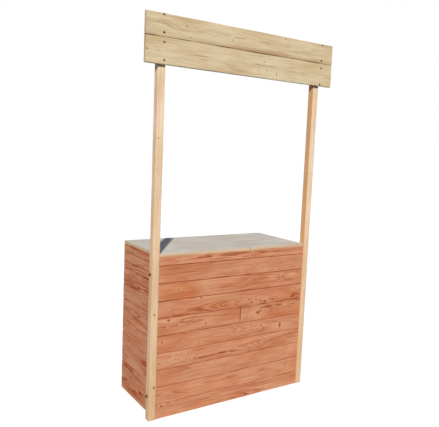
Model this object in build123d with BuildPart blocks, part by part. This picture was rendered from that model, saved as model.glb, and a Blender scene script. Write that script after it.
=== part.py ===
"""Wooden market stall: a board-clad counter, two tall posts and a header across them.

Millimetres, +Z up. Customers stand on the -Y side, and the back is open for the seller.
The origin is on the ground, under the middle of the stall's bounding box.
"""
import os
from build123d import *

# Stall
stall_width = 1184  # over both posts
stall_height = 2330
counter_height = 1000  # ground to the top of the worktop
counter_depth = 510  # faces of the front boards to the open back

# Posts, at the counter's front corners and outside its side walls
post_width = 44
post_depth = 44
post_proud = 4  # they stand this far in front of the front boards
post_round = 2

# Header, planks screwed to the front faces of the posts
header_thickness = 22
header_overhang = 88  # past each post
header_lower_height = 145
header_upper_height = 123
header_gap = 2
header_arris = 1.5

# Worktop, one panel that lies on the walls and the frame
worktop_thickness = 18
worktop_arris = 1

# Wall boards, tongued and grooved
board_thickness = 18
board_cover = 105  # from one joint to the next
board_gap = 1  # left open at a joint, for the wood to swell
board_bevel = 4  # the two bevels at a joint make its V
tongue_thickness = 6
tongue_height = 7
tongue_clearance = 0.4
top_rip_share = 0.38  # of the height that whole boards leave over; the bottom board has the rest

# The front row that is made up of two lengths, butted over the middle batten
butt_row = 5
butt_share = 0.04  # of the front's length, to the right of its middle
butt_gap = 1

# Frame of square battens inside the counter
batten_size = 44
batten_arris = 1.5

# Places that follow from the sizes
front_length = stall_width - 2 * post_width
side_x = front_length / 2  # outer faces of the side walls, against the posts
side_length = counter_depth - board_thickness
header_length = stall_width + 2 * header_overhang
header_bottom = stall_height - header_upper_height - header_gap - header_lower_height
overall_depth = header_thickness + post_proud + counter_depth
post_face_y = header_thickness - overall_depth / 2
front_y = post_face_y + post_proud
side_front_y = front_y + board_thickness
back_y = overall_depth / 2
wall_height = counter_height - worktop_thickness
butt_x = butt_share * front_length

# Rows of boards from the ground up: one ripped board, whole boards, one ripped board
whole_rows = int(wall_height / board_cover) - 1
left_over = wall_height - whole_rows * board_cover
top_rip = top_rip_share * left_over
row_heights = [left_over - top_rip] + [board_cover] * whole_rows + [top_rip]
row_bottoms = [sum(row_heights[:row]) for row in range(len(row_heights))]
top_row = len(row_heights) - 1

os.makedirs("parts", exist_ok=True)


def write(piece, label):
    """Labels a finished piece and writes it under that name."""
    piece.part.label = label
    export_step(piece.part, f"parts/{label}.step")


def make_board(label, end, length, row):
    """One wall board: its section, drawn on the plane of one end, run along its length.

    On that plane x goes from the outer face into the wall, and y goes up from the ground.
    A board has a tongue above and a groove below, but none where it meets worktop or ground.
    """
    has_tongue = row < top_row
    has_groove = row > 0
    middle = board_thickness / 2
    bottom = row_bottoms[row]
    height = row_heights[row] - board_gap if has_tongue else row_heights[row]
    with BuildPart() as board:
        with BuildSketch(end) as section:
            with Locations((0, bottom)):
                Rectangle(board_thickness, height, align=(Align.MIN, Align.MIN))
            lower_corner, upper_corner = section.vertices().group_by(Axis.X)[0].sort_by(Axis.Y)
            if has_groove:
                chamfer(lower_corner, board_bevel)
            if has_tongue:
                chamfer(upper_corner, board_bevel)
            if has_tongue:
                with Locations((middle, bottom + height)):
                    Rectangle(tongue_thickness, tongue_height, align=(Align.CENTER, Align.MIN))
            if has_groove:
                groove_width = tongue_thickness + 2 * tongue_clearance
                groove_depth = tongue_height + tongue_clearance
                with Locations((middle, bottom)):
                    Rectangle(
                        groove_width,
                        groove_depth,
                        align=(Align.CENTER, Align.MIN),
                        mode=Mode.SUBTRACT,
                    )
        extrude(amount=length)
    write(board, label)


# Posts
for side, label in ((-1, "left_post"), (1, "right_post")):
    with BuildPart() as post:
        with BuildSketch():
            with Locations((side * (stall_width - post_width) / 2, post_face_y + post_depth / 2)):
                Rectangle(post_width, post_depth)
        extrude(amount=stall_height)
        fillet(post.edges().filter_by(Axis.Z), post_round)
    write(post, label)

# Header planks
for label, bottom, height in (
    ("header_lower_plank", header_bottom, header_lower_height),
    ("header_upper_plank", stall_height - header_upper_height, header_upper_height),
):
    with BuildPart() as plank:
        with BuildSketch(Plane.XZ.offset(-post_face_y)):
            with Locations((0, bottom)):
                Rectangle(header_length, height, align=(Align.CENTER, Align.MIN))
        extrude(amount=header_thickness)
        chamfer(plank.edges().filter_by(Axis.X), header_arris)
    write(plank, label)

# Worktop
with BuildPart() as worktop:
    with BuildSketch(Plane.XY.offset(wall_height)):
        with Locations((0, (front_y + back_y) / 2)):
            Rectangle(front_length, counter_depth)
    extrude(amount=worktop_thickness)
    chamfer(worktop.faces().sort_by(Axis.Z)[-1].edges(), worktop_arris)
write(worktop, "worktop")

# Front wall, between the posts
front_ends = ((-side_x, butt_x - butt_gap / 2, "_left"), (butt_x + butt_gap / 2, side_x, "_right"))
for row in range(len(row_heights)):
    label = f"front_board_{row + 1:02d}"
    lengths = front_ends if row == butt_row else ((-side_x, side_x, ""),)
    for start_x, end_x, suffix in lengths:
        board_end = Plane(origin=(start_x, front_y, 0), x_dir=(0, 1, 0), z_dir=(1, 0, 0))
        make_board(label + suffix, board_end, end_x - start_x, row)

# Side walls, behind the ends of the front boards
left_end = Plane(origin=(-side_x, back_y, 0), x_dir=(1, 0, 0), z_dir=(0, -1, 0))
right_end = Plane(origin=(side_x, side_front_y, 0), x_dir=(-1, 0, 0), z_dir=(0, 1, 0))
for row in range(len(row_heights)):
    make_board(f"left_board_{row + 1:02d}", left_end, side_length, row)
    make_board(f"right_board_{row + 1:02d}", right_end, side_length, row)

# Upright battens in the corners and behind the butted boards
batten_x = side_x - board_thickness - batten_size / 2
front_batten_y = side_front_y + batten_size / 2
back_batten_y = back_y - batten_size / 2
for label, x, y in (
    ("front_left_batten", -batten_x, front_batten_y),
    ("front_middle_batten", butt_x, front_batten_y),
    ("front_right_batten", batten_x, front_batten_y),
    ("back_left_batten", -batten_x, back_batten_y),
    ("back_right_batten", batten_x, back_batten_y),
):
    with BuildPart() as batten:
        with BuildSketch():
            with Locations((x, y)):
                Rectangle(batten_size, batten_size)
        extrude(amount=wall_height)
        chamfer(batten.edges().filter_by(Axis.Z), batten_arris)
    write(batten, label)

# Rail under the worktop's back edge, between the back battens
with BuildPart() as rail:
    with BuildSketch(Plane.YZ):
        with Locations((back_batten_y, wall_height - batten_size / 2)):
            Rectangle(batten_size, batten_size)
    extrude(amount=batten_x - batten_size / 2, both=True)
    chamfer(rail.edges().filter_by(Axis.X), batten_arris)
write(rail, "back_top_rail")
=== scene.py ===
"""Looks of the wooden market stall: its timber with grain, knots and wear, its fixings, light and camera."""
import math
from dataclasses import dataclass, field, replace

import bpy
import numpy as np
from mathutils import Matrix, Vector


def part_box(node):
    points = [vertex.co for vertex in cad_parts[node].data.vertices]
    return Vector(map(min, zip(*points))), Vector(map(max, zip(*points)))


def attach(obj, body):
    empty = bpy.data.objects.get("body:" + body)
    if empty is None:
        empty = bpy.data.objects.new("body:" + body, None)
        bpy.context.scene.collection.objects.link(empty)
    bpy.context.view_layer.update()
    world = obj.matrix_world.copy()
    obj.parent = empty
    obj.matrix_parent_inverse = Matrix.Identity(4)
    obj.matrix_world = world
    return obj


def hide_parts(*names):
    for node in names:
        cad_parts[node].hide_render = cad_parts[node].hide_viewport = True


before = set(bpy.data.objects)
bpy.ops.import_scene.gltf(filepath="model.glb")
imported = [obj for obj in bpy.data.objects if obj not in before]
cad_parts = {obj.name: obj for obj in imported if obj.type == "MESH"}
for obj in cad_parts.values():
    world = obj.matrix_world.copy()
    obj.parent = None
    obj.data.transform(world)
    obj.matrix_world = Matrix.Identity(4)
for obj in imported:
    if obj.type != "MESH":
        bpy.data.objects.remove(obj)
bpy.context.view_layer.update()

MM = 0.001
X, Y, Z = np.eye(3)

# Sections of the timber
BOARD_BEVEL = 4 * MM
TONGUE_THICKNESS = 6 * MM
TONGUE_HEIGHT = 7 * MM
TONGUE_CLEARANCE = 0.4 * MM
POST_ROUND = 2 * MM
PLANK_ROUND = 1.5 * MM
WORKTOP_ROUND = 1 * MM
FACE_STEP = 8 * MM
STATION_STEP = 20 * MM

# Shares of half the width: where an uneven edge begins, and over how much it fades in
EDGE_START = 0.9
EDGE_FADE = 0.05

# Screws and bolts
SCREW_HEAD_RADIUS = 6 * MM
SCREW_HEAD_HEIGHT = 0.8 * MM
SCREW_PLACES = {
    ("header_upper_plank", "left_post"): [(-5, 117), (-2, 22)],
    ("header_upper_plank", "right_post"): [(17, 116), (16, 16)],
    ("header_lower_plank", "left_post"): [(0, 118), (2, 23)],
    ("header_lower_plank", "right_post"): [(17, 114), (14, 10)],
}
BOLT_HEIGHTS = (146 * MM, 880 * MM)
BOLT_BEHIND_POST_FACE = 28 * MM
BOLT_FLATS = 13 * MM
BOLT_HEAD_HEIGHT = 6 * MM
WASHER_RADIUS = 11 * MM
WASHER_THICKNESS = 1.6 * MM

# Camera, found by matching the stall's corners to the photograph
PICTURE_WIDTH = 439
SENSOR_WIDTH = 36.0
FOCAL_PIXELS = 533.6
CAMERA_PLACE = (-1.918, -2.949, 1.593)
CAMERA_HEADING = math.radians(-33.16)
CAMERA_PITCH = math.radians(-6.48)
CAMERA_ROLL = math.radians(2.40)

# Light. A lamp is the way its light travels over the ground, its elevation, strength, colour and spread.
KEY_LAMP = ((0.58, 0.815), math.radians(28), 3.74, (1.0, 0.97, 0.92), math.radians(2.5))
FILL_LAMP = ((-0.63, -0.777), math.radians(1.5), 3.2, (0.97, 0.98, 1.0), math.radians(20))
SKY_LIGHT = (0.06, 0.1, 0.185, 1.0)
WHITE = (1.0, 1.0, 1.0, 1.0)
FLOOR_SIZE = 60.0
FLOOR_SEEN = (0.86, 0.86, 0.86, 1.0)
FLOOR_BOUNCE = (0.12, 0.12, 0.12, 1.0)

# The floor's own light: its strength, and its share of what the camera sees
FLOOR_GLOW = 1.3
FLOOR_GLOW_SHARE = 0.64


def srgb(red, green, blue):
    """A colour given as 0 to 255 a channel, turned into linear light with full alpha."""
    share = np.array([red, green, blue]) / 255
    light = np.where(share <= 0.04045, share / 12.92, ((share + 0.055) / 1.055) ** 2.4)
    return (*light.tolist(), 1.0)


# Shader maths


class Value:
    """A shader output that takes part in Python arithmetic: each operation adds one Math node."""

    def __init__(self, shader, output):
        self.shader = shader
        self.output = output

    def maths(self, operation, *operands):
        return self.shader.make("ShaderNodeMath", {"operation": operation}, dict(enumerate(operands)))

    def __add__(self, other):
        return self.maths("ADD", self, other)

    def __sub__(self, other):
        return self.maths("SUBTRACT", self, other)

    def __rsub__(self, other):
        return self.maths("SUBTRACT", other, self)

    def __mul__(self, other):
        return self.maths("MULTIPLY", self, other)

    def __truediv__(self, other):
        return self.maths("DIVIDE", self, other)

    def __abs__(self):
        return self.maths("ABSOLUTE", self)

    def __neg__(self):
        return self.maths("MULTIPLY", self, -1.0)

    __radd__ = __add__
    __rmul__ = __mul__

    def root(self):
        return self.maths("SQRT", self)

    def exponential(self):
        return self.maths("EXPONENT", self)

    def fraction(self):
        return self.maths("FRACT", self)

    def floor(self):
        return self.maths("FLOOR", self)

    def larger(self, other):
        return self.maths("MAXIMUM", self, other)


class Shader:
    """The node tree of a material or of the world, with the node that gives its surface."""

    def __init__(self, owner, surface="Principled BSDF"):
        owner.use_nodes = True
        self.owner = owner
        self.tree = owner.node_tree
        self.surface = self.tree.nodes[surface]

    def make(self, kind, settings=None, sockets=None, output=0):
        """Adds a node, sets it up, then fills its sockets with numbers, colours or links."""
        node = self.tree.nodes.new(kind)
        for name, setting in (settings or {}).items():
            setattr(node, name, setting)
        self.fill(node, sockets or {})
        return Value(self, node.outputs[output])

    def fill(self, node, sockets):
        for key, value in sockets.items():
            if isinstance(value, Value):
                self.tree.links.new(value.output, node.inputs[key])
            else:
                node.inputs[key].default_value = value

    def finish(self, **sockets):
        self.fill(self.surface, {name.replace("_", " "): value for name, value in sockets.items()})
        return self.owner

    def mix(self, first, second, share):
        """A colour between two colours."""
        return self.make("ShaderNodeMix", {"data_type": "RGBA"}, {0: share, 6: first, 7: second}, output=2)

    def shade(self, colour, level):
        """A colour made lighter or darker by a level around 1."""
        settings = {"operation": "SCALE"}
        return self.make("ShaderNodeVectorMath", settings, {"Vector": colour, "Scale": level})

    def ramp(self, value, start, end):
        """Eases from 0 at start to 1 at end."""
        sockets = {"Value": value, "From Min": start, "From Max": end}
        return self.make("ShaderNodeMapRange", {"interpolation_type": "SMOOTHSTEP"}, sockets)

    def noise(self, place, stretch, start, detail=2.0):
        """Soft noise around 0, finer along the axes where stretch is larger."""
        sockets = {0: place, 1: stretch, 2: (start, 1.7 * start, -start)}
        moved = self.make("ShaderNodeVectorMath", {"operation": "MULTIPLY_ADD"}, sockets)
        sockets = {"Vector": moved, "Scale": 1.0, "Detail": detail}
        return self.make("ShaderNodeTexNoise", None, sockets) - 0.5

    def scatter(self, number):
        """A value from 0 to 1 that is different for each whole number."""
        return self.make("ShaderNodeTexWhiteNoise", {"noise_dimensions": "1D"}, {"W": number})

    def bump(self, height, distance, strength):
        sockets = {"Height": height, "Distance": distance, "Strength": strength}
        return self.make("ShaderNodeBump", None, sockets)


def new_shader(name):
    return Shader(bpy.data.materials.new(name))


def largest(values):
    """The largest of several shader values."""
    total, *rest = values
    for value in rest:
        total = total.larger(value)
    return total


# Timber


@dataclass
class Timber:
    """A length of wood in place: its outer face's middle, and unit vectors along, across and into it."""

    name: str
    middle: np.ndarray
    along: np.ndarray
    across: np.ndarray
    into: np.ndarray
    length: float
    width: float
    depth: float

    def place(self, u, v, w):
        """Turns lengths along, across and into the timber into points of the frame."""
        steps = np.multiply.outer(u, self.along) + np.multiply.outer(v, self.across)
        return self.middle + steps + np.multiply.outer(w, self.into)


def timber_of(node, along, across, into, tongue=0.0):
    """Reads a timber from its CAD node's box, less the tongue on its upper edge."""
    low, high = (np.array(corner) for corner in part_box(node))
    high = high - tongue * Z
    centre = (low + high) / 2
    size = high - low
    length, width, depth = (float(size @ np.abs(axis)) for axis in (along, across, into))
    return Timber(node, centre - into * depth / 2, along, across, into, length, width, depth)


def dense(corners, step):
    """A closed outline with points added on its straight runs, about a step apart."""
    corners = np.asarray(corners, float)
    runs = np.roll(corners, -1, axis=0) - corners
    counts = np.maximum(1, np.ceil(np.linalg.norm(runs, axis=1) / step)).astype(int)
    owner = np.repeat(np.arange(len(corners)), counts)
    share = (np.arange(counts.sum()) - np.repeat(np.cumsum(counts) - counts, counts)) / counts[owner]
    return corners[owner] + share[:, None] * runs[owner]


def rounded_section(width, depth, radius, turns=5):
    """A rectangle in (across, into) whose corners are quarter circles of the radius."""
    starts = np.repeat([180, 270, 0, 90], turns)
    angle = np.radians(starts + np.tile(np.linspace(0, 90, turns), 4))
    side = np.repeat([-1, 1, 1, -1], turns)
    end = np.repeat([0, 0, 1, 1], turns)
    v = side * (width / 2 - radius) + radius * np.cos(angle)
    w = radius + end * (depth - 2 * radius) + radius * np.sin(angle)
    return np.stack([v, w], axis=1)


def board_section(width, depth, has_tongue, has_groove):
    """A tongued and grooved board in (across, into): bevels on its face, a tongue above, a groove below."""
    half = width / 2
    upper_bevel = BOARD_BEVEL if has_tongue else 0.0
    lower_bevel = BOARD_BEVEL if has_groove else 0.0
    near, far = depth / 2 - TONGUE_THICKNESS / 2, depth / 2 + TONGUE_THICKNESS / 2
    outline = [(-half + lower_bevel, 0), (half - upper_bevel, 0)]
    if has_tongue:
        tip = half + TONGUE_HEIGHT
        outline += [(half, upper_bevel), (half, near), (tip, near), (tip, far), (half, far)]
    outline += [(half, depth), (-half, depth)]
    if has_groove:
        floor = -half + TONGUE_HEIGHT + TONGUE_CLEARANCE
        wide_near, wide_far = near - TONGUE_CLEARANCE, far + TONGUE_CLEARANCE
        outline += [(-half, wide_far), (floor, wide_far), (floor, wide_near), (-half, wide_near)]
        outline += [(-half, lower_bevel)]
    return outline


def slow_wave(draw, u, length, size):
    """A gentle uneven line along a timber, from 0 to twice its size: three sines with drawn phases."""
    phase = draw.uniform(0, 2 * np.pi, 3)
    turns = draw.uniform(0.6, 1.4, 3) * np.array([1, 2.3, 4.9])
    height = size * np.array([0.57, 0.29, 0.14])
    return size + (height * np.sin(2 * np.pi * np.multiply.outer(u / length, turns) + phase)).sum(-1)


def timber_mesh(timber, section, draw, cup=0.4 * MM, bow=0.35 * MM, edge=0.35 * MM, swell=(0.0, 0.0)):
    """The section carried along the timber, its outer face cupped across and bowed along.

    A point at (u, v, w) moves inwards by cup times the square of v's share of half the width, or by cup less
    that, plus a slow wave along u, both fading to nothing at half depth. The outer edges wander along u by
    another slow wave, so that joints are wider in some places than in others. Swell moves the lower and the
    upper edge outwards first. Both ends are closed.
    """
    outline = dense(section, FACE_STEP)
    count = len(outline)
    stations = max(3, int(round(timber.length / STATION_STEP)) + 1)
    u = np.linspace(-timber.length / 2, timber.length / 2, stations)
    v = np.broadcast_to(outline[:, 0], (stations, count)).copy()
    w = np.broadcast_to(outline[:, 1], (stations, count)).copy()
    outer = np.clip(1 - 2 * w / timber.depth, 0, 1)
    share = np.clip(2 * v / timber.width, -1, 1)
    crown = share**2 if draw.random() < 0.5 else 1 - share**2
    w += outer * (cup * crown + slow_wave(draw, u, timber.length, bow)[:, None])
    upper = slow_wave(draw, u, timber.length, edge)[:, None] - swell[1]
    lower = slow_wave(draw, u, timber.length, edge)[:, None] - swell[0]
    at_edge = np.clip((np.abs(share) - EDGE_START) / EDGE_FADE, 0, 1)
    v -= outer * at_edge * np.where(v > 0, upper, -lower)
    points = timber.place(np.broadcast_to(u[:, None], v.shape), v, w).reshape(-1, 3)
    faces = tube_faces(stations, count)
    if np.cross(timber.along, timber.across) @ timber.into < 0:
        faces = [face[::-1] for face in faces]
    return points, faces


def tube_faces(rings, sides):
    """Quads between neighbouring rings of points, closed round, with the first and the last ring capped."""
    row, column = np.meshgrid(np.arange(rings - 1), np.arange(sides), indexing="ij")
    here, beside = row * sides + column, row * sides + (column + 1) % sides
    quads = np.stack([here, beside, beside + sides, here + sides], axis=-1).reshape(-1, 4)
    start_cap = np.arange(sides)[::-1]
    end_cap = (rings - 1) * sides + np.arange(sides)
    return [*quads.tolist(), start_cap.tolist(), end_cap.tolist()]


def add_piece(name, points, faces, material, crease=math.radians(28)):
    """Puts points and faces into a mesh that rides with the stall, smooth but for edges past the crease."""
    mesh = bpy.data.meshes.new(name)
    mesh.from_pydata(np.asarray(points).tolist(), [], faces)
    mesh.polygons.foreach_set("use_smooth", np.ones(len(mesh.polygons), bool))
    mesh.set_sharp_from_angle(angle=crease)
    mesh.materials.append(material)
    mesh.update()
    piece = bpy.data.objects.new(name, mesh)
    bpy.context.scene.collection.objects.link(piece)
    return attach(piece, "root")


# Wood


@dataclass
class Species:
    """Colours and figure of one kind of timber."""

    early: tuple
    late: tuple
    other: tuple
    pale: tuple
    knot: tuple
    rim: tuple
    ring: float
    base: float
    contrast: float
    streaks: float
    threads: float
    roughness: float


@dataclass
class Figure:
    """How one timber was sawn from its log. Its marks are placed in mm from the timber's middle.

    The pith runs at a distance across and into the timber (mm), and leans into it along the length. Stain
    makes the whole timber darker, red makes it warmer, strength darkens the lines of its rings, and wander
    is the unevenness of their course. A knot is (along, across, half its length, half its width, darkness). A
    patch, which is a warmer stretch, and a flame, which is a lens of late wood where the saw grazed a ring,
    are given in the same way. An arch is a ring that runs out on the face in a point: (along, across, half
    its width, its length over its width, darkness), with a minus sign on the ratio where it points to the
    far end.
    """

    pith: tuple
    lean: float
    stain: float = 0.0
    red: float = 0.0
    strength: float = 1.0
    wander: float = 1.0
    patches: list = field(default_factory=list)
    knots: list = field(default_factory=list)
    flames: list = field(default_factory=list)
    arches: list = field(default_factory=list)


WALL_WOOD = Species(
    early=srgb(221, 161, 124),
    late=srgb(155, 67, 21),
    other=srgb(211, 130, 85),
    pale=srgb(226, 173, 132),
    knot=srgb(150, 68, 34),
    rim=srgb(94, 44, 20),
    ring=4.4 * MM,
    base=0.20,
    contrast=0.85,
    streaks=0.6,
    threads=0.8,
    roughness=0.66,
)
POST_WOOD = Species(
    early=srgb(254, 228, 197),
    late=srgb(184, 132, 79),
    other=srgb(237, 202, 160),
    pale=srgb(241, 212, 169),
    knot=srgb(132, 88, 52),
    rim=srgb(78, 50, 32),
    ring=4.0 * MM,
    base=0.06,
    contrast=0.5,
    streaks=0.4,
    threads=0.4,
    roughness=0.6,
)
HEADER_WOOD = Species(
    early=srgb(226, 207, 171),
    late=srgb(158, 122, 74),
    other=srgb(214, 182, 134),
    pale=srgb(224, 206, 172),
    knot=srgb(124, 92, 58),
    rim=srgb(66, 46, 32),
    ring=4.4 * MM,
    base=0.12,
    contrast=0.42,
    streaks=0.5,
    threads=0.7,
    roughness=0.66,
)
FRAME_WOOD = Species(
    early=srgb(226, 194, 150),
    late=srgb(170, 122, 74),
    other=srgb(214, 176, 126),
    pale=srgb(226, 196, 152),
    knot=srgb(130, 88, 54),
    rim=srgb(76, 50, 34),
    ring=4.0 * MM,
    base=0.12,
    contrast=0.6,
    streaks=0.4,
    threads=0.5,
    roughness=0.72,
)

# Waves of the grain's noises in each metre along, across and into the timber
WANDER_WAVES = (3.2, 6.0, 6.0)
RIPPLE_WAVES = (13.0, 85.0, 85.0)
ROUGH_WAVES = (60.0, 110.0, 110.0)
STREAK_WAVES = (1.8, 34.0, 34.0)
THREAD_WAVES = (6.0, 120.0, 120.0)
FIBRE_WAVES = (24.0, 1000.0, 1000.0)
BLOTCH_WAVES = (3.5, 8.0, 8.0)
FADING_WAVES = (2.4, 12.0, 12.0)

# How far those noises move the rings and the marks
RING_WANDER_ACROSS = 16 * MM
RING_WANDER_INTO = 24 * MM
RING_RIPPLE = 3.2 * MM
FLAME_WANDER = 10 * MM
FLAME_RIPPLE = 6 * MM
ARCH_RIPPLE = 8 * MM
PATCH_WANDER_ALONG = 60 * MM
PATCH_WANDER_ACROSS = 20 * MM

# The larger it is, the thinner are the strokes of an arch
ARCH_SHARPNESS = 52.0

# Finish
END_STAIN_REACH = 1.5 * MM
NAP_DEPTH = 0.5 * MM
NAP_STRENGTH = 0.4
WOOD_SHEEN = 0.15


def timber_coordinates(shader, timber):
    """Lengths along, across and into the timber, as values worked out from Object coordinates."""
    position = shader.make("ShaderNodeTexCoord", output="Object")
    values = []
    for axis in (timber.along, timber.across, timber.into):
        number = int(np.argmax(np.abs(axis)))
        part = shader.make("ShaderNodeSeparateXYZ", None, {0: position}, output=number)
        values.append(part * float(axis[number]) - float(timber.middle @ axis))
    place = shader.make("ShaderNodeCombineXYZ", None, dict(enumerate(values)))
    return (*values, place)


def from_mark(place, middle, half):
    """How far a place (m) lies from a mark's middle (mm), in shares of half the mark's size (mm)."""
    return (place - middle * MM) * (1 / (half * MM))


def bell(du, dv, slim, reach):
    """A bell curve that fades over a reach across the grain, and slower along it where slim is small."""
    return ((du * du * slim + dv * dv) * (-1 / reach**2)).exponential()


def knot_marks(shader, figure, u, v, radius, rough, ripple):
    """Swells the rings around each knot by a bell curve, and gives the knots' cores and pale halos.

    A core is an ellipse with a ragged rim. A halo is a second bell curve.
    """
    cores, halos = [], []
    for along, across, half_length, half_width, dark in figure.knots:
        reach = (half_length + half_width) / 2 * MM
        du, dv = u - along * MM, v - across * MM
        radius = radius + bell(du, dv, 0.07, 2.4 * reach) * (1.6 * reach)
        halos.append(bell(du, dv, 0.15, 2.0 * reach))
        du, dv = from_mark(u, along, half_length), from_mark(v, across, half_width)
        span = (du * du + dv * dv).root() + rough * 1.8 + ripple * 0.8
        cores.append((1 - shader.ramp(span, 0.45, 1.25)) * dark)
    return radius, cores, halos


def flame_marks(shader, species, figure, u, v, radius, wander, ripple):
    """Lenses of late wood, which are bell curves both ways, and the rings drawn in towards them."""
    lenses = []
    for along, across, half_length, half_width, dark in figure.flames:
        du = from_mark(u, along, half_length)
        dv = from_mark(v + wander * FLAME_WANDER + ripple * FLAME_RIPPLE, across, half_width)
        lens = (-(du * du + dv * dv)).exponential()
        radius = radius - lens * (1.6 * species.ring)
        lenses.append(shader.ramp(lens, 0.12, 0.75) * dark)
    return radius, lenses


def arch_marks(shader, figure, u, v, ripple):
    """Strokes of late wood along both arms of an arch, which fade with the distance from arms and point."""
    strokes = []
    for along, across, half_width, ratio, dark in figure.arches:
        dv = from_mark(v + ripple * ARCH_RIPPLE, across, half_width)
        behind = from_mark(u, along, 2 * ratio * half_width) - abs(dv)
        stroke = (-(behind * behind * ARCH_SHARPNESS + dv * dv)).exponential()
        strokes.append(shader.ramp(stroke, 0.05, 0.6) * dark)
    return strokes


def grain(shader, timber, species, figure, start):
    """The colour and height of sawn wood, as a cut through a log.

    Growth rings are shells of equal distance from the pith, which leans along the timber and wanders with
    slow noise. Each knot or flame swells the rings around it, so that they part and close again along the
    grain. Within a ring the pale early wood darkens slowly to late wood, then ends sharply. Every ring has
    a darkness of its own, and its line fades in places. Streaks, threads and fibres follow the grain at
    three widths. All of them are summed to one darkness between the colours of early and late wood.
    """
    u, v, w, place = timber_coordinates(shader, timber)
    wander = shader.noise(place, WANDER_WAVES, start) * figure.wander
    ripple = shader.noise(place, RIPPLE_WAVES, start + 13)
    rough = shader.noise(place, ROUGH_WAVES, start + 19)
    streaks = shader.noise(place, STREAK_WAVES, start + 31, 3.0)
    threads = shader.noise(place, THREAD_WAVES, start + 43)
    fibres = shader.noise(place, FIBRE_WAVES, start + 57)
    blotches = shader.noise(place, BLOTCH_WAVES, start + 71)
    fading = shader.noise(place, FADING_WAVES, start + 83)
    pith_across, pith_into = (distance * MM for distance in figure.pith)
    off_across = v - pith_across + wander * RING_WANDER_ACROSS
    off_into = w - pith_into - u * figure.lean + wander * RING_WANDER_INTO
    radius = (off_across * off_across + off_into * off_into).root() + ripple * RING_RIPPLE
    radius, cores, halos = knot_marks(shader, figure, u, v, radius, rough, ripple)
    radius, lenses = flame_marks(shader, species, figure, u, v, radius, wander, ripple)
    lenses += arch_marks(shader, figure, u, v, ripple)
    rings = radius / species.ring
    share = rings.fraction()
    late = shader.ramp(share, 0.2, 0.85) * (1 - shader.ramp(share, 0.9, 1.0))
    each = shader.scatter(rings.floor() + 0.37 * start)
    late = late * (each * each * 0.85 + 0.15) * (shader.ramp(fading, -0.16, 0.12) * 0.7 + 0.3)
    darkness = late * (species.contrast * figure.strength) + (species.base + figure.stain)
    darkness = darkness + streaks * species.streaks + threads * species.threads + blotches * 0.4
    if lenses:
        darkness = darkness + largest(lenses) * (threads * 1.5 + 0.9)
    warmth = shader.ramp(blotches + wander * 0.5, -0.15, 0.2) * 0.5 + figure.red
    for along, across, half_length, half_width, strong in figure.patches:
        du = from_mark(u + wander * PATCH_WANDER_ALONG, along, half_length)
        dv = from_mark(v + wander * PATCH_WANDER_ACROSS, across, half_width)
        outside = shader.ramp((du * du + dv * dv).root() + threads, 0.6, 1.2)
        warmth = warmth + (1 - outside) * strong
    colour = shader.mix(species.early, species.other, warmth)
    colour = shader.mix(colour, species.late, darkness)
    if halos:
        colour = shader.mix(colour, species.pale, largest(halos) * 0.45)
    colour = shader.shade(colour, fibres * 0.3 + 1.0)
    if cores:
        core = largest(cores)
        colour = shader.mix(colour, species.knot, core)
        colour = shader.mix(colour, species.rim, core * shader.ramp(rough, -0.02, 0.14) * 0.8)
    height = fibres * 0.6 + threads * 0.3 + late * 0.3
    return colour, height, fibres, (u, v, w, place)


def sawn_ends(shader, colour, timber, species, u, dark=0.6):
    """Darkens the cross-cut ends, where the wood drinks in more stain."""
    half = timber.length / 2
    end = shader.ramp(abs(u), half - END_STAIN_REACH, half - 0.2 * MM)
    return shader.mix(colour, species.late, end * dark)


def planed_finish(shader, species, colour, height, fibres):
    """Planed wood without varnish: dull, rougher where fibres stand up, with their height as a fine nap."""
    return shader.finish(
        Base_Color=colour,
        Roughness=fibres * 0.3 + species.roughness,
        Specular_IOR_Level=WOOD_SHEEN,
        Normal=shader.bump(height, NAP_DEPTH, NAP_STRENGTH),
    )


def wood(timber, species, figure, start):
    """A plain timber's wood: its grain and darker sawn ends, planed."""
    shader = new_shader(timber.name)
    colour, height, fibres, (u, *_) = grain(shader, timber, species, figure, start)
    colour = sawn_ends(shader, colour, timber, species, u)
    return planed_finish(shader, species, colour, height, fibres)


# Walls

# Colour of the painted shade and dirt in the wall boards' joints
JOINT_SHADE_AND_DIRT = srgb(152, 52, 14)
BUTT_DIRT = srgb(132, 64, 30)
BUTT_DIRT_REACH = 6 * MM
END_DIRT_REACH = 5 * MM
JOINT_PATCH_WAVES = (7.0, 7.0, 7.0)
BUTT_DIRT_WAVES = (1.0, 45.0, 1.0)

# Darkness of the joints at the ground and under the worktop
FRONT_JOINT_SHADE = (0.55, 1.0)
SIDE_JOINT_SHADE = (0.6, 1.25)

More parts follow.
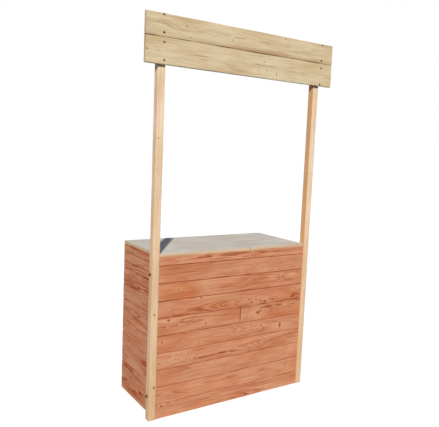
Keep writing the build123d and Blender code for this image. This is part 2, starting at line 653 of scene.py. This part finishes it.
# Front boards from the ground up. Places along are measured from the front's middle.
FRONT_FIGURES = [
    Figure((-30, 60), 0.03, stain=-0.07, knots=[(-506, 30, 10, 8, 0.8)], flames=[(-90, -30, 150, 6, 0.2)]),
    Figure(
        (10, 70),
        -0.02,
        stain=-0.08,
        strength=0.55,
        wander=0.6,
        knots=[(391, 15, 6, 6, 0.5), (453, -15, 6, 6, 0.6)],
        flames=[(-195, 20, 45, 7, 0.25), (-20, 22, 55, 8, 0.32), (249, 19, 30, 6, 0.3)],
    ),
    Figure((30, 85), 0.015, strength=0.5),
    Figure(
        (-8, 60),
        -0.02,
        stain=-0.06,
        knots=[
            (-419, 1, 7, 9, 0.4),
            (-396, -2, 6, 8, 0.35),
            (-526, -10, 6, 8, 0.5),
            (216, -5, 5, 6, 0.5),
            (263, 15, 3, 9, 0.65),
        ],
        flames=[(-217, -20, 72, 7, 0.5), (76, 0, 48, 6, 0.35), (500, 0, 62, 5, 0.5)],
    ),
    Figure(
        (15, 65),
        0.02,
        red=0.17,
        strength=0.7,
        knots=[
            (-265, -30, 3, 20, 0.7),
            (377, -6, 9, 17, 1.0),
            (218, 17, 7, 8, 0.6),
            (-515, 15, 10, 10, 0.4),
        ],
        flames=[(330, 24, 30, 5, 0.4)],
        arches=[(-425, 2, 12, 1.8, 0.5)],
    ),
    Figure(
        (6, 50),
        0.02,
        stain=0.01,
        red=0.15,
        patches=[(430, -10, 150, 40, 0.3)],
        knots=[
            (-475, 39, 12, 9, 0.8),
            (-217, -15, 9, 8, 0.6),
            (184, 1, 17, 11, 0.8),
            (204, 12, 14, 7, 0.7),
        ],
        flames=[
            (-336, 34, 90, 5, 0.4),
            (218, 28, 22, 6, 0.8),
            (264, 31, 40, 7, 0.75),
            (360, 31, 36, 7, 0.75),
            (340, 9, 40, 3, 0.4),
            (470, 28, 52, 5, 0.4),
        ],
        arches=[(-398, 20, 15, 1.6, 0.55), (-330, 16, 15, 1.7, 0.5), (-240, 10, 13, -1.9, 0.45)],
    ),
    Figure(
        (-20, 30),
        -0.03,
        stain=-0.05,
        strength=0.8,
        patches=[(-120, -30, 420, 30, 0.3), (370, -8, 130, 50, 0.4)],
        knots=[(494, 28, 4, 10, 0.8), (-255, 46, 8, 5, 0.9)],
        arches=[
            (-318, -19, 26, 2.8, 0.6),
            (-190, -19, 24, 1.9, 0.6),
            (-120, -19, 22, 1.4, 0.6),
            (-80, -20, 15, 1.2, 0.55),
            (462, -14, 22, 1.4, 0.5),
        ],
        flames=[
            (-390, -43, 60, 5, 0.45),
            (-305, -20, 26, 5, 0.5),
            (-270, -18, 45, 8, 0.45),
            (7, -26, 7, 9, 0.55),
            (24, -12, 24, 4, 0.6),
            (112, -9, 17, 5, 0.6),
            (130, -29, 11, 9, 0.5),
            (164, -14, 13, 5, 0.6),
            (203, -27, 10, 8, 0.5),
            (238, -35, 13, 9, 0.55),
            (305, -27, 14, 6, 0.5),
            (472, -29, 14, 6, 0.7),
            (500, -12, 28, 5, 0.55),
            (65, -44, 50, 5, 0.6),
            (224, -46, 32, 5, 0.6),
            (382, -44, 75, 5, 0.6),
            (490, -44, 50, 5, 0.6),
        ],
    ),
    Figure(
        (18, 60),
        0.02,
        stain=-0.04,
        red=0.05,
        strength=0.8,
        patches=[(-400, -5, 150, 62, 0.55)],
        knots=[(-416, 9, 8, 6, 0.75), (441, 14, 8, 9, 0.25)],
        flames=[(-430, -14, 90, 8, 0.2), (54, 24, 36, 8, 0.3)],
    ),
    Figure(
        (-30, 95),
        0.01,
        stain=0.02,
        strength=0.5,
        wander=0.6,
        knots=[(200, -14, 9, 14, 0.12)],
        arches=[(212, -14, 15, -0.5, 0.4)],
    ),
    Figure(
        (2, 40),
        0.02,
        stain=-0.13,
        flames=[
            (-470, 6, 50, 4, 0.5),
            (-430, -4, 40, 4, 0.4),
            (-274, 9, 24, 6, 0.65),
            (-224, 12, 42, 9, 0.65),
            (-120, -12, 85, 3, 0.6),
            (-55, 11, 92, 12, 0.8),
            (15, 13, 80, 8, 0.65),
            (60, -12, 28, 3, 0.6),
            (135, -5, 36, 4, 0.5),
            (195, 11, 62, 8, 0.45),
            (340, 9, 75, 8, 0.45),
            (440, 11, 60, 8, 0.35),
        ],
    ),
]
ROWS = len(FRONT_FIGURES)


def joint_shade_and_dirt(shader, timber, row, v, w):
    """Painted shade and dirt on both bevels of a board and on its edges behind them, where it meets its
    neighbours.
    """
    half = timber.width / 2
    bevel = half - BOARD_BEVEL
    behind_face = shader.ramp(w, 0.6 * BOARD_BEVEL, BOARD_BEVEL)
    at_back = shader.ramp(w, timber.depth - 2 * MM, timber.depth)
    # Painted shade and dirt in the gap behind the bevels, then on the bevels
    dirt = behind_face * (1 - at_back) * shader.ramp(abs(v), half - 2 * MM, half - 0.5 * MM) * 0.8
    if row > 0:
        dirt = dirt.larger(shader.ramp(-v, bevel - 1.5 * MM, half - 0.5 * MM) * 0.65)
    if row < ROWS - 1:
        dirt = dirt.larger(shader.ramp(v, bevel - 0.5 * MM, bevel + 1.5 * MM) * 0.45)
    return dirt


def board_wood(timber, row, figure, start, shade, butt):
    """Stained wall board: painted shade and dirt in its joints, and dirt at its ends, unevenly along its
    length.

    Shade is the joints' darkness, which grows from the first number at the ground to the second under the
    worktop. Where one end butts against another board, butt is that end's sign along the timber, and dirt
    lies there in a broken line.
    """
    shader = new_shader(timber.name)
    colour, height, fibres, (u, v, w, place) = grain(shader, timber, WALL_WOOD, figure, start)
    half = timber.length / 2
    # Painted shade and dirt in the joints, darker towards the worktop and patchy along them
    dirt = joint_shade_and_dirt(shader, timber, row, v, w) * (shade[0] + (shade[1] - shade[0]) * row / ROWS)
    patchiness = shader.ramp(shader.noise(place, JOINT_PATCH_WAVES, start + 7), -0.2, 0.2)
    end = shader.ramp(abs(u), half - END_DIRT_REACH, half - 0.2 * END_DIRT_REACH) * 0.1
    colour = shader.mix(colour, JOINT_SHADE_AND_DIRT, (dirt * (patchiness * 0.75 + 0.25)).larger(end))
    if butt:
        broken = shader.ramp(shader.noise(place, BUTT_DIRT_WAVES, 3), -0.18, 0.1)
        beside = shader.ramp(u * butt, half - BUTT_DIRT_REACH, half - 0.4 * BUTT_DIRT_REACH)
        colour = shader.mix(colour, BUTT_DIRT, beside * broken)
    return planed_finish(shader, WALL_WOOD, colour, height, fibres)


def wall_board(timber, row, figure, start, shade, butt=None):
    """One board of a wall, in its own wood and with the section of its row."""
    draw = np.random.default_rng(start)
    section = board_section(timber.width, timber.depth, row < ROWS - 1, row > 0)
    points, faces = timber_mesh(timber, section, draw)
    material = board_wood(timber, row, figure, start, shade, butt)
    piece = add_piece(timber.name + "_wood", points, faces, material)
    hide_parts(timber.name)


def shifted(figure, distance, length):
    """The part of a figure that falls on a shorter timber, whose middle lies a distance (m) along."""
    marks = {kind: getattr(figure, kind) for kind in ("patches", "knots", "flames", "arches")}
    reach = length / 2 / MM
    here = {}
    for kind, places in marks.items():
        moved = [(along - distance / MM, *rest) for along, *rest in places]
        here[kind] = [place for place in moved if abs(place[0]) < reach]
    return replace(figure, **here)


def tongue_of(row):
    """The height of a board's tongue, which the top row goes without."""
    return TONGUE_HEIGHT if row < ROWS - 1 else 0.0


def front_wall():
    """The front boards, with the figure that shows on the customer's side."""
    for row, figure in enumerate(FRONT_FIGURES):
        nodes = [node for node in sorted(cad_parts) if node.startswith(f"front_board_{row + 1:02d}")]
        for number, node in enumerate(nodes):
            timber = timber_of(node, X, Z, Y, tongue_of(row))
            here = shifted(figure, timber.middle[0], timber.length)
            butt = 1 - 2 * number if len(nodes) > 1 else None
            start = 110 + 11 * row + 5 * number
            wall_board(timber, row, here, start, FRONT_JOINT_SHADE, butt)


def drawn_figure(draw, timber, most_knots, dark):
    """A plain-sawn timber from near the log's heart, with knots and dark flames at drawn places."""
    half_length, half_width = timber.length / 2 / MM, timber.width / 2 / MM

    def marks(count, lengths, widths, least):
        for _ in range(count):
            along = draw.uniform(-0.9, 0.9) * half_length
            across = draw.uniform(-0.8, 0.8) * half_width
            length, width = draw.uniform(*lengths), draw.uniform(*widths)
            yield along, across, length, width, draw.uniform(least, 2 * least)

    return Figure(
        pith=(draw.uniform(-0.7, 0.7) * half_width, draw.uniform(45, 90)),
        lean=draw.uniform(-0.03, 0.03),
        stain=dark + draw.uniform(-0.08, 0.08),
        strength=draw.uniform(0.9, 1.6),
        knots=list(marks(draw.integers(0, most_knots + 1), (4, 9), (4, 9), 0.4)),
        flames=list(marks(3, (35, 120), (4, 9), 0.2)),
    )


# Extra darkness of the side boards' wood: painted shade of the side walls
SIDE_PAINTED_SHADE = 0.03
# A dark flame high on each side's top board: painted shade under the worktop's edge
SIDE_TOP_PAINTED_SHADE = (100, 19, 120, 7, 0.7)


def side_wall(side, into, seed):
    """The boards of one side wall, each with a figure of its own."""
    draw = np.random.default_rng(seed)
    for row in range(ROWS):
        timber = timber_of(f"{side}_board_{row + 1:02d}", Y, Z, into, tongue_of(row))
        # The side boards' wood is darkened as painted shade
        figure = drawn_figure(draw, timber, 2, SIDE_PAINTED_SHADE)
        # Painted shade under the worktop's edge on the top board
        if row == ROWS - 1:
            figure.flames.append(SIDE_TOP_PAINTED_SHADE)
        wall_board(timber, row, figure, 200 * seed + 13 * row, SIDE_JOINT_SHADE)


# Posts, header and worktop

SPLASH_HEIGHTS = (0.2, 1.8)
SPLASH_TONE = srgb(196, 146, 84)
SPLASH_SHARE = 0.45
HEART_TONE = srgb(212, 154, 94)
HEART_SHARE = 0.75
HEART_REACH = 4 * MM

# Knots of the posts by their height from the ground
LEFT_POST_KNOTS = [(1661, -6, 5, 4, 0.7), (646, -2, 9, 7, 0.8), (202, 7, 14, 7, 0.85)]
RIGHT_POST_KNOTS = [(1480, 4, 5, 4, 0.5), (830, -5, 4, 4, 0.4)]


def post(node, knots, start, heart=None):
    """A full-height post with rounded arrises, darkened towards the ground by splashes.

    Its knots are given by their height in mm. Where one of its sides is sawn from the log's heart, heart is
    that side's sign across the post.
    """
    timber = timber_of(node, Z, X, Y)
    draw = np.random.default_rng(start)
    section = rounded_section(timber.width, timber.depth, POST_ROUND)
    points, faces = timber_mesh(timber, section, draw, cup=0.0, bow=0.3 * MM, edge=0.0)
    middle = timber.middle[2] / MM
    here = [(height - middle, *rest) for height, *rest in knots]
    figure = Figure(pith=(34, 62), lean=0.008, knots=here)
    shader = new_shader(node)
    colour, height, fibres, (u, v, *_) = grain(shader, timber, POST_WOOD, figure, start)
    splashed = 1 - shader.ramp(u + middle * MM, *SPLASH_HEIGHTS)
    colour = shader.mix(colour, SPLASH_TONE, splashed * SPLASH_SHARE)
    if heart:
        half = timber.width / 2
        inner = shader.ramp(v * heart, half - HEART_REACH, half - 0.25 * HEART_REACH)
        colour = shader.mix(colour, HEART_TONE, inner * HEART_SHARE)
    colour = sawn_ends(shader, colour, timber, POST_WOOD, u)
    material = planed_finish(shader, POST_WOOD, colour, height, fibres)
    piece = add_piece(node + "_wood", points, faces, material)
    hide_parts(node)


# A darker band along a header plank's lower edge: its colour, height and sway
LOWER_BAND_TONE = srgb(168, 128, 80)
LOWER_BAND_HEIGHT = 32 * MM
LOWER_BAND_SWAY = 40 * MM
# Dark of checks and cracks, also used for the painted shade and dirt in the header's joint
CHECK_AND_SHADE_DARK = srgb(96, 72, 48)
CHECK_SWAY = 5 * MM
HEADER_SWELL = 0.6 * MM
HEADER_SHADE_AND_DIRT_REACH = 3 * MM

# Stretches of painted shade and dirt in the header's joint: mm along, half the length in mm, darkness
HEADER_JOINT_SHADE_AND_DIRT = [(-660, 60, 0.9), (-440, 50, 0.35), (-190, 80, 0.8), (110, 160, 0.75), (505, 85, 0.6)]

UPPER_HEADER = Figure(
    (10, 70),
    0.012,
    knots=[
        (-432, 16, 9, 7, 0.5),
        (-405, -44, 6, 5, 0.7),
        (-87, 28, 5, 4, 0.6),
        (-124, -16, 7, 6, 0.45),
        (277, 48, 7, 5, 0.7),
    ],
    flames=[(-70, 4, 45, 4, 0.4), (130, 4, 60, 4, 0.35), (420, -20, 110, 14, 0.2)],
)
LOWER_HEADER = Figure(
    (-12, 85),
    -0.012,
    knots=[
        (117, 24, 8, 6, 0.5),
        (139, -24, 8, 4, 0.6),
        (-672, -3, 7, 6, 0.6),
        (216, -38, 4, 16, 0.6),
    ],
    flames=[
        (-335, 1, 50, 4, 0.4),
        (-318, -17, 30, 4, 0.35),
        (-45, 2, 45, 4, 0.25),
        (-20, -48, 120, 10, 0.2),
    ],
)


def header_joint_shade_and_dirt(shader, timber, u, v, joint):
    """Painted shade and dirt on the plank's edge at the joint, whose sign across is given, in stretches along
    it.
    """
    half = timber.width / 2
    stretches = []
    for along, reach, dark in HEADER_JOINT_SHADE_AND_DIRT:
        beyond = shader.ramp(abs(u - along * MM), 0.4 * reach * MM, reach * MM)
        stretches.append((1 - beyond) * dark)
    return shader.ramp(v * joint, half - HEADER_SHADE_AND_DIRT_REACH, half - 0.8 * MM) * largest(stretches)


def lower_edge_band(shader, timber, u, v, place, start, ends):
    """A darker band that rises from the lower edge to a swaying line, strongest between two places along
    (mm).
    """
    half = timber.width / 2
    line = shader.noise(place, (3.0, 3.0, 3.0), start + 5) * LOWER_BAND_SWAY
    band = shader.ramp(-v + line, half - LOWER_BAND_HEIGHT, half + 2 * MM)
    first, last = (distance * MM for distance in ends)
    stretch = shader.ramp(u, first - 0.2, first + 0.1) * (1 - shader.ramp(u, last - 0.05, last + 0.05))
    return band * (stretch * 0.5 + 0.15)


def drying_check(shader, u, v, start, check):
    """A crack along the grain on a swaying line, tapered to its ends.

    It is given as (mm along, mm across, half its length in mm).
    """
    along, across, half_length = (distance * MM for distance in check)
    only_along = shader.make("ShaderNodeCombineXYZ", None, {0: u, 1: 0.0, 2: 0.0})
    path = shader.noise(only_along, (14.0, 1.0, 1.0), start + 9) * CHECK_SWAY + across
    taper = 1 - shader.ramp(abs(u - along), 0.6 * half_length, half_length)
    return (1 - shader.ramp(abs(v - path), 0.8 * MM, 2.2 * MM)) * taper


def header_plank(node, figure, start, joint, stain=None, check=None):
    """A plank of the header with its arrises taken off.

    Its edge at the joint, whose sign across is given, almost touches the other plank in places. It may have
    a darker band along its lower edge and a drying check in its face.
    """
    timber = timber_of(node, X, Z, Y)
    draw = np.random.default_rng(start)
    section = rounded_section(timber.width, timber.depth, PLANK_ROUND)
    swell = (0.0, HEADER_SWELL) if joint > 0 else (HEADER_SWELL, 0.0)
    points, faces = timber_mesh(timber, section, draw, cup=0.5 * MM, bow=0.4 * MM, edge=0.5 * MM, swell=swell)
    shader = new_shader(node)
    colour, height, fibres, (u, v, _, place) = grain(shader, timber, HEADER_WOOD, figure, start)
    # Painted shade and dirt along the joint with the other plank
    colour = shader.mix(colour, CHECK_AND_SHADE_DARK, header_joint_shade_and_dirt(shader, timber, u, v, joint))
    # A darker band along the lower edge
    if stain:
        colour = shader.mix(colour, LOWER_BAND_TONE, lower_edge_band(shader, timber, u, v, place, start, stain))
    if check:
        crack = drying_check(shader, u, v, start, check)
        colour = shader.mix(colour, CHECK_AND_SHADE_DARK, crack * 0.9)
        height = height - crack * 2.0
    colour = sawn_ends(shader, colour, timber, HEADER_WOOD, u, 0.1)
    material = planed_finish(shader, HEADER_WOOD, colour, height, fibres)
    piece = add_piece(node + "_wood", points, faces, material)
    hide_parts(node)


WORKTOP_GREY = srgb(229, 218, 201)
WORKTOP_PALE = srgb(240, 230, 213)
WORKTOP_DARK = srgb(197, 186, 170)
WORKTOP_EDGE = srgb(224, 195, 160)
WORKTOP_EDGE_LATE = srgb(198, 158, 118)
WORKTOP_SHEEN = 0.0

# The crack's place along, half its width, and its reach from the front edge
WORKTOP_CRACK = (95 * MM, 2.6 * MM, 28 * MM)


def worktop():
    """The panel on the counter: weathered grey on top, pale bare wood on its sawn edges, one short crack."""
    timber = timber_of("worktop", X, Y, -Z)
    draw = np.random.default_rng(3)
    section = rounded_section(timber.width, timber.depth, WORKTOP_ROUND, turns=3)
    points, faces = timber_mesh(timber, section, draw, cup=0.0, bow=0.3 * MM, edge=0.0)
    shader = new_shader("worktop")
    u, v, w, place = timber_coordinates(shader, timber)
    streaks = shader.noise(place, (2.6, 50.0, 50.0), 7, 3.0)
    blotches = shader.noise(place, (4.0, 7.0, 7.0), 19, 3.0)
    fibres = shader.noise(place, (20.0, 800.0, 800.0), 23)
    grey = shader.mix(WORKTOP_GREY, WORKTOP_PALE, shader.ramp(blotches, -0.15, 0.2))
    grey = shader.mix(grey, WORKTOP_DARK, shader.ramp(streaks, -0.02, 0.3) * 0.6)
    edge_wood = shader.mix(WORKTOP_EDGE, WORKTOP_EDGE_LATE, shader.ramp(streaks, -0.1, 0.2) * 0.6)
    colour = shader.mix(grey, edge_wood, shader.ramp(w, 0.3 * MM, 1.2 * MM))
    at, half_width, reach = WORKTOP_CRACK
    near_front = 1 - shader.ramp(v + timber.width / 2, 0.4 * reach, reach)
    crack = (1 - shader.ramp(abs(u - at), 0.4 * half_width, half_width)) * near_front
    colour = shader.mix(colour, CHECK_AND_SHADE_DARK, crack * 0.8)
    material = shader.finish(
        Base_Color=shader.shade(colour, fibres * 0.2 + 1.0),
        Roughness=fibres * 0.3 + 0.6,
        Specular_IOR_Level=WORKTOP_SHEEN,
        Normal=shader.bump(fibres * 0.5 + streaks * 0.5 - crack, 0.4 * MM, 0.3),
    )
    piece = add_piece("worktop_panel", points, faces, material)
    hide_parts("worktop")


def inner_frame():
    """The battens and the rail inside the counter keep their CAD shape and get sawn softwood."""
    nodes = [node for node in sorted(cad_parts) if node.endswith(("_batten", "_rail"))]
    for number, node in enumerate(nodes):
        axes = (X, Z, -Y) if node.endswith("_rail") else (Z, X, Y)
        timber = timber_of(node, *axes)
        figure = drawn_figure(np.random.default_rng(60 + number), timber, 3, 0.0)
        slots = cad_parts[node].data.materials
        slots.clear()
        slots.append(wood(timber, FRAME_WOOD, figure, 300 + 7 * number))


# Fixings


def turned_points(centre, outward, radii, heights, sides):
    """A profile turned about an outward axis: one ring of points for each radius.

    Heights are given for each radius, or for each radius and angle.
    """
    outward = np.asarray(outward, float)
    first = np.cross(outward, X if abs(outward[0]) < 0.9 else Y)
    second = np.cross(outward, first)
    angle = np.arange(sides) * 2 * np.pi / sides
    circle = np.multiply.outer(np.cos(angle), first) + np.multiply.outer(np.sin(angle), second)
    heights = np.reshape(heights, (len(radii), -1))
    rings = np.asarray(radii)[:, None, None] * circle + heights[:, :, None] * outward
    return (np.asarray(centre) + rings).reshape(-1, 3)


def gather(shapes):
    """Joins several lists of points and faces into one."""
    starts = np.cumsum([0] + [len(points) for points, _ in shapes]).tolist()
    faces = []
    for (_, part), start in zip(shapes, starts):
        faces += [[index + start for index in face] for face in part]
    return np.concatenate([points for points, _ in shapes]), faces


def metal(name, colour, worn, shine, roughness):
    """Plated steel, dulled in blotches by weather."""
    shader = new_shader(name)
    position = shader.make("ShaderNodeTexCoord", output="Object")
    dull = shader.noise(position, (300.0, 300.0, 300.0), 5)
    share = shader.ramp(dull, -0.1, 0.15)
    return shader.finish(
        Base_Color=shader.mix(colour, worn, share),
        Metallic=shine,
        Roughness=share * 0.25 + roughness,
        Specular_IOR_Level=0.2,
    )


def screw_head(centre, outward):
    """A flat screw head with a cross recess.

    On a polar grid the height is the head's crown, falling by the recess depth where the point lies within
    the width of either arm and within the arms' reach.
    """
    sides = 48
    shares = np.array([1.0, 1.0, 0.93, 0.75, 0.6, 0.5, 0.42, 0.34, 0.26, 0.18, 0.1, 0.03])
    angle = np.arange(sides) * 2 * np.pi / sides
    x = np.abs(np.multiply.outer(shares, np.cos(angle)))
    y = np.abs(np.multiply.outer(shares, np.sin(angle)))
    in_arm = np.clip((0.17 - np.minimum(x, y)) / 0.06, 0, 1)
    in_reach = np.clip((0.56 - np.maximum(x, y)) / 0.1, 0, 1)
    crown = np.zeros((len(shares), 1))
    crown[:3, 0] = -1.2, -0.25, -0.05
    heights = (crown - in_arm * in_reach) * SCREW_HEAD_HEIGHT
    points = turned_points(centre, outward, SCREW_HEAD_RADIUS * shares, heights, sides)
    return points, tube_faces(len(shares), sides)


def header_screws():
    """Screws through the header planks into the posts, two to a plank at each post.

    Each place is (mm from the post's middle, mm up from the plank's lower edge).
    """
    shapes = []
    for (plank, node), places in SCREW_PLACES.items():
        low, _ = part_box(plank)
        post_low, post_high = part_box(node)
        for across, height in places:
            middle = (post_low.x + post_high.x) / 2
            shapes.append(screw_head((middle + across * MM, low.y, low.z + height * MM), -Y))
    finish = metal("dark_screw", srgb(14, 10, 8), srgb(30, 20, 14), 0.0, 0.9)
    add_piece("header_screws", *gather(shapes), finish)


def post_bolts():
    """Hexagon bolts on washers, through each post from its outer side into the counter's corner."""
    shapes = []
    for node, outward in (("left_post", -X), ("right_post", X)):
        low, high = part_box(node)
        face = low.x if outward[0] < 0 else high.x
        for height in BOLT_HEIGHTS:
            centre = np.array([face, low.y + BOLT_BEHIND_POST_FACE, height])
            radii = WASHER_RADIUS * np.array([1.0, 1.0, 0.96, 0.5])
            rises = WASHER_THICKNESS * np.array([-0.5, 0.8, 1.0, 1.0])
            shapes.append((turned_points(centre, outward, radii, rises, 32), tube_faces(4, 32)))
            radii = BOLT_FLATS / math.sqrt(3) * np.array([1.0, 1.0, 0.9, 0.6])
            rises = WASHER_THICKNESS + BOLT_HEAD_HEIGHT * np.array([0.0, 0.85, 1.0, 1.0])
            shapes.append((turned_points(centre, outward, radii, rises, 6), tube_faces(4, 6)))
    finish = metal("rusty_bolt", srgb(128, 96, 66), srgb(88, 60, 38), 0.3, 0.5)
    add_piece("post_bolts", *gather(shapes), finish)


# Stage


def shown_rays(shader):
    """1 for the rays that make the picture, straight or by a mirror or glass, and 0 for the rest."""
    kinds = ("Camera", "Glossy", "Transmission")
    return largest([shader.make("ShaderNodeLightPath", output=f"Is {kind} Ray") for kind in kinds])


def floor():
    """A wide floor, white to the camera, that keeps part of the shadow and throws little light up."""
    half = FLOOR_SIZE / 2
    corners = [(-half, -half, 0), (half, -half, 0), (half, half, 0), (-half, half, 0)]
    mesh = bpy.data.meshes.new("floor")
    mesh.from_pydata(corners, [], [(0, 1, 2, 3)])
    shader = new_shader("floor")
    shown = shown_rays(shader)
    shader.finish(Base_Color=shader.mix(FLOOR_BOUNCE, FLOOR_SEEN, shown), Roughness=0.9)
    glow = shader.make("ShaderNodeEmission", None, {"Color": WHITE, "Strength": FLOOR_GLOW})
    lit = Value(shader, shader.surface.outputs[0])
    mixed = shader.make("ShaderNodeMixShader", None, {0: shown * FLOOR_GLOW_SHARE, 1: lit, 2: glow})
    shader.fill(shader.tree.nodes["Material Output"], {"Surface": mixed})
    mesh.materials.append(shader.owner)
    plane = bpy.data.objects.new("floor", mesh)
    bpy.context.scene.collection.objects.link(plane)


def sky():
    """An even sky: white to the camera and in reflections, softer and a little cool as light."""
    world = bpy.data.worlds.new("sky")
    bpy.context.scene.world = world
    shader = Shader(world, "Background")
    shader.finish(Color=SKY_LIGHT)
    soft = Value(shader, shader.surface.outputs[0])
    white = shader.make("ShaderNodeBackground", None, {"Color": WHITE})
    mixed = shader.make("ShaderNodeMixShader", None, {0: shown_rays(shader), 1: soft, 2: white})
    shader.fill(shader.tree.nodes["World Output"], {"Surface": mixed})


def lamp(name, travel, elevation, strength, colour, spread, mirrored=True):
    """A distant lamp whose shadows have soft edges. It may be left out of reflections."""
    light = bpy.data.lights.new(name, "SUN")
    light.energy = strength
    light.color = colour
    light.angle = spread
    flat = math.cos(elevation)
    holder = bpy.data.objects.new(name, light)
    holder.rotation_mode = "QUATERNION"
    direction = Vector((travel[0] * flat, travel[1] * flat, -math.sin(elevation)))
    holder.rotation_quaternion = direction.to_track_quat("-Z", "Y")
    holder.visible_glossy = mirrored
    bpy.context.scene.collection.objects.link(holder)


def camera():
    """The photograph's point of view."""
    lens = bpy.data.cameras.new("camera")
    lens.sensor_width = SENSOR_WIDTH
    lens.lens = FOCAL_PIXELS / PICTURE_WIDTH * SENSOR_WIDTH
    holder = bpy.data.objects.new("camera", lens)
    turn = Matrix.Rotation(CAMERA_HEADING, 4, "Z")
    turn = turn @ Matrix.Rotation(math.pi / 2 + CAMERA_PITCH, 4, "X") @ Matrix.Rotation(CAMERA_ROLL, 4, "Z")
    holder.matrix_world = Matrix.Translation(CAMERA_PLACE) @ turn
    bpy.context.scene.collection.objects.link(holder)
    bpy.context.scene.camera = holder


bpy.context.scene.view_settings.view_transform = "Standard"
camera()
lamp("key", *KEY_LAMP)
lamp("fill", *FILL_LAMP, mirrored=False)
sky()
floor()
front_wall()
side_wall("left", X, seed=4)
side_wall("right", -X, seed=5)
post("left_post", LEFT_POST_KNOTS, 401)
post("right_post", RIGHT_POST_KNOTS, 433, heart=-1)
header_plank("header_upper_plank", UPPER_HEADER, 501, -1, stain=(-140, 580))
header_plank("header_lower_plank", LOWER_HEADER, 523, 1, check=(125, 3, 92))
worktop()
inner_frame()
header_screws()
post_bolts()
